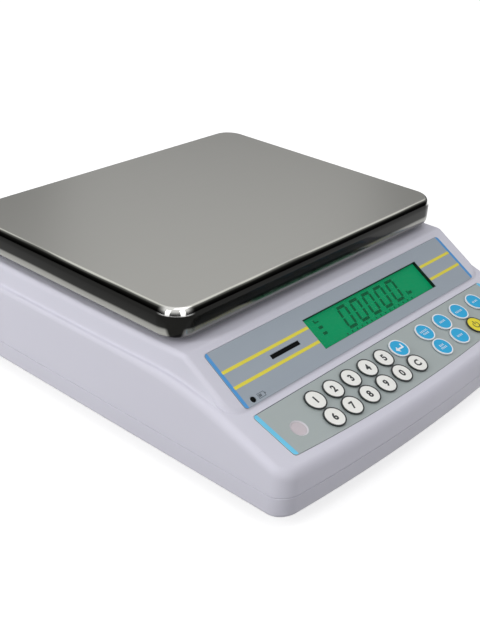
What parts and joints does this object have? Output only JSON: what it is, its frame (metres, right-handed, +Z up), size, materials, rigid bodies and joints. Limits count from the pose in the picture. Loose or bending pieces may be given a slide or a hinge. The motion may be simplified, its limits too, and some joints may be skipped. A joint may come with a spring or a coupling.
{
  "type": "counting scale",
  "caption": "Bench scale: flat steel pan on a sprung platform over a light plastic case, with a sloped display, a round-key keypad and screw feet.",
  "frame": {"origin": "centre of the bounding box at its base, on the surface the feet stand on", "axes": "+Z up, the front with the display and keypad faces -Y, +X to the right as seen from the front"},
  "size_m": [0.315, 0.355, 0.11],
  "materials": {
    "case_plastic": "fine moulded texture",
    "stainless": "satin top, polished skirt",
    "cast_aluminium": "as cast",
    "aluminium": "machined",
    "steel": "zinc plated",
    "rubber": "matt",
    "dark_plastic": "moulded",
    "dark_lens": "gloss",
    "label_film": "printed film",
    "clear": "clear",
    "lcd_green": "gloss",
    "vial_liquid": "clear liquid",
    "board": "circuit board",
    "key_white": "satin",
    "key_blue": "satin",
    "key_yellow": "satin"
  },
  "bodies": {
    "case": {"upper_case": "case_plastic", "lower_case": "case_plastic", "battery_cover": "case_plastic", "load_cell": "aluminium", "cell_mount": "steel", "cell_bolt_1": "steel", "cell_bolt_2": "steel", "overload_stop": "steel", "cover_screw": "steel", "case_screw_1": "steel", "case_screw_2": "steel", "case_screw_3": "steel", "case_screw_4": "steel", "serial_port": "steel", "cell_cable": "rubber", "battery": "dark_plastic", "power_inlet": "dark_plastic", "status_window": "dark_lens", "charge_lamp": "dark_lens", "display_label": "label_film", "keypad_label": "label_film", "display_window": "clear", "level_lens": "clear", "lcd_module": "lcd_green", "level_vial": "vial_liquid", "main_board": "board", "display_board": "board", "keypad_board": "board"},
    "platform": {"pan_spider": "cast_aluminium", "pan_cushion_1": "rubber", "pan_cushion_2": "rubber", "pan_cushion_3": "rubber", "pan_cushion_4": "rubber", "spider_bolt_1": "steel", "spider_bolt_2": "steel"},
    "pan": {"weighing_pan": "stainless"},
    "key_1_body": {"key_1": "key_white"},
    "key_2_body": {"key_2": "key_white"},
    "key_3_body": {"key_3": "key_white"},
    "key_4_body": {"key_4": "key_white"},
    "key_5_body": {"key_5": "key_white"},
    "key_print_body": {"key_print": "key_blue"},
    "key_6_body": {"key_6": "key_white"},
    "key_7_body": {"key_7": "key_white"},
    "key_8_body": {"key_8": "key_white"},
    "key_9_body": {"key_9": "key_white"},
    "key_0_body": {"key_0": "key_white"},
    "key_clear_body": {"key_clear": "key_white"},
    "key_f1_body": {"key_f1": "key_blue"},
    "key_f2_body": {"key_f2": "key_blue"},
    "key_f3_body": {"key_f3": "key_blue"},
    "key_f4_body": {"key_f4": "key_blue"},
    "key_f5_body": {"key_f5": "key_blue"},
    "key_f6_body": {"key_f6": "key_blue"},
    "key_power_body": {"key_power": "key_yellow"},
    "key_f7_body": {"key_f7": "key_blue"},
    "foot_1_body": {"foot_1": "rubber"},
    "foot_2_body": {"foot_2": "rubber"},
    "foot_3_body": {"foot_3": "rubber"},
    "foot_4_body": {"foot_4": "rubber"}
  },
  "joints": [
    {"name": "platform_deflection", "type": "slide", "parent": "case", "child": "platform", "axis": [0, 0, -1], "range_m": [0, 0.00025], "stiffness_N_per_m": 300000},
    {"name": "pan_lift", "type": "slide", "parent": "platform", "child": "pan", "axis": [0, 0, 1], "range_m": [0, 0.06]},
    {"name": "key_1_press", "type": "slide", "parent": "case", "child": "key_1_body", "axis": [0, 0.309, -0.9511], "range_m": [0, 0.0005], "stiffness_N_per_m": 1500},
    {"name": "key_2_press", "type": "slide", "parent": "case", "child": "key_2_body", "axis": [0, 0.309, -0.9511], "range_m": [0, 0.0005], "stiffness_N_per_m": 1500},
    {"name": "key_3_press", "type": "slide", "parent": "case", "child": "key_3_body", "axis": [0, 0.309, -0.9511], "range_m": [0, 0.0005], "stiffness_N_per_m": 1500},
    {"name": "key_4_press", "type": "slide", "parent": "case", "child": "key_4_body", "axis": [0, 0.309, -0.9511], "range_m": [0, 0.0005], "stiffness_N_per_m": 1500},
    {"name": "key_5_press", "type": "slide", "parent": "case", "child": "key_5_body", "axis": [0, 0.309, -0.9511], "range_m": [0, 0.0005], "stiffness_N_per_m": 1500},
    {"name": "key_print_press", "type": "slide", "parent": "case", "child": "key_print_body", "axis": [0, 0.309, -0.9511], "range_m": [0, 0.0005], "stiffness_N_per_m": 1500},
    {"name": "key_6_press", "type": "slide", "parent": "case", "child": "key_6_body", "axis": [0, 0.309, -0.9511], "range_m": [0, 0.0005], "stiffness_N_per_m": 1500},
    {"name": "key_7_press", "type": "slide", "parent": "case", "child": "key_7_body", "axis": [0, 0.309, -0.9511], "range_m": [0, 0.0005], "stiffness_N_per_m": 1500},
    {"name": "key_8_press", "type": "slide", "parent": "case", "child": "key_8_body", "axis": [0, 0.309, -0.9511], "range_m": [0, 0.0005], "stiffness_N_per_m": 1500},
    {"name": "key_9_press", "type": "slide", "parent": "case", "child": "key_9_body", "axis": [0, 0.309, -0.9511], "range_m": [0, 0.0005], "stiffness_N_per_m": 1500},
    {"name": "key_0_press", "type": "slide", "parent": "case", "child": "key_0_body", "axis": [0, 0.309, -0.9511], "range_m": [0, 0.0005], "stiffness_N_per_m": 1500},
    {"name": "key_clear_press", "type": "slide", "parent": "case", "child": "key_clear_body", "axis": [0, 0.309, -0.9511], "range_m": [0, 0.0005], "stiffness_N_per_m": 1500},
    {"name": "key_f1_press", "type": "slide", "parent": "case", "child": "key_f1_body", "axis": [0, 0.309, -0.9511], "range_m": [0, 0.0005], "stiffness_N_per_m": 1500},
    {"name": "key_f2_press", "type": "slide", "parent": "case", "child": "key_f2_body", "axis": [0, 0.309, -0.9511], "range_m": [0, 0.0005], "stiffness_N_per_m": 1500},
    {"name": "key_f3_press", "type": "slide", "parent": "case", "child": "key_f3_body", "axis": [0, 0.309, -0.9511], "range_m": [0, 0.0005], "stiffness_N_per_m": 1500},
    {"name": "key_f4_press", "type": "slide", "parent": "case", "child": "key_f4_body", "axis": [0, 0.309, -0.9511], "range_m": [0, 0.0005], "stiffness_N_per_m": 1500},
    {"name": "key_f5_press", "type": "slide", "parent": "case", "child": "key_f5_body", "axis": [0, 0.309, -0.9511], "range_m": [0, 0.0005], "stiffness_N_per_m": 1500},
    {"name": "key_f6_press", "type": "slide", "parent": "case", "child": "key_f6_body", "axis": [0, 0.309, -0.9511], "range_m": [0, 0.0005], "stiffness_N_per_m": 1500},
    {"name": "key_power_press", "type": "slide", "parent": "case", "child": "key_power_body", "axis": [0, 0.309, -0.9511], "range_m": [0, 0.0005], "stiffness_N_per_m": 1500},
    {"name": "key_f7_press", "type": "slide", "parent": "case", "child": "key_f7_body", "axis": [0, 0.309, -0.9511], "range_m": [0, 0.0005], "stiffness_N_per_m": 1500},
    {"name": "foot_1_height", "type": "slide", "parent": "case", "child": "foot_1_body", "axis": [0, 0, -1], "range_m": [0, 0.008]},
    {"name": "foot_2_height", "type": "slide", "parent": "case", "child": "foot_2_body", "axis": [0, 0, -1], "range_m": [0, 0.008]},
    {"name": "foot_3_height", "type": "slide", "parent": "case", "child": "foot_3_body", "axis": [0, 0, -1], "range_m": [0, 0.008]},
    {"name": "foot_4_height", "type": "slide", "parent": "case", "child": "foot_4_body", "axis": [0, 0, -1], "range_m": [0, 0.008]}
  ]
}
